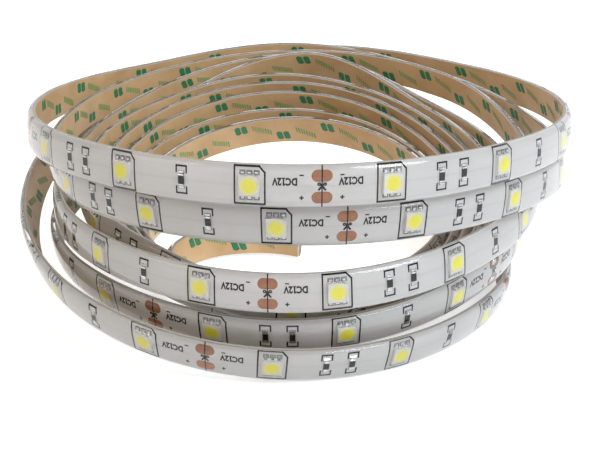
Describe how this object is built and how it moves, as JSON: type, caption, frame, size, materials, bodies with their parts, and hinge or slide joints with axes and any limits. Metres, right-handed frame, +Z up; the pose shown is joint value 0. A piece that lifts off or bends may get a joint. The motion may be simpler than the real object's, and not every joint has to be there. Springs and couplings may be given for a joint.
{
  "type": "led strip light",
  "caption": "Loosely coiled reel of white flexible LED strip with square LEDs, resistors, cut marks, a clear domed coating and a paper-covered adhesive back.",
  "frame": {"origin": "centre of the coil's footprint, at the lowest edge of the strip", "axes": "+Z up through the open coil, -Y towards the side with the fanned-out front turns, +X to the right seen from there"},
  "size_m": [0.1676, 0.1758, 0.058],
  "materials": {
    "white_circuit": "satin white solder mask and white LED packages",
    "solder": "bright tin solder",
    "silicone": "clear glossy silicone",
    "release_paper": "tan waxed paper with green print"
  },
  "bodies": {
    "root": {"circuit_section_01": "white_circuit", "circuit_section_02": "white_circuit", "circuit_section_03": "white_circuit", "circuit_section_04": "white_circuit", "circuit_section_05": "white_circuit", "circuit_section_06": "white_circuit", "circuit_section_07": "white_circuit", "circuit_section_08": "white_circuit", "circuit_section_09": "white_circuit", "circuit_section_10": "white_circuit", "solder_minus_01": "solder", "solder_minus_02": "solder", "solder_minus_03": "solder", "solder_minus_04": "solder", "solder_minus_05": "solder", "solder_minus_06": "solder", "solder_minus_07": "solder", "solder_minus_08": "solder", "solder_minus_09": "solder", "solder_plus_01": "solder", "solder_plus_02": "solder", "solder_plus_03": "solder", "solder_plus_04": "solder", "solder_plus_05": "solder", "solder_plus_06": "solder", "solder_plus_07": "solder", "solder_plus_08": "solder", "solder_plus_09": "solder", "clear_coating": "silicone", "backing_tape": "release_paper"}
  },
  "joints": []
}
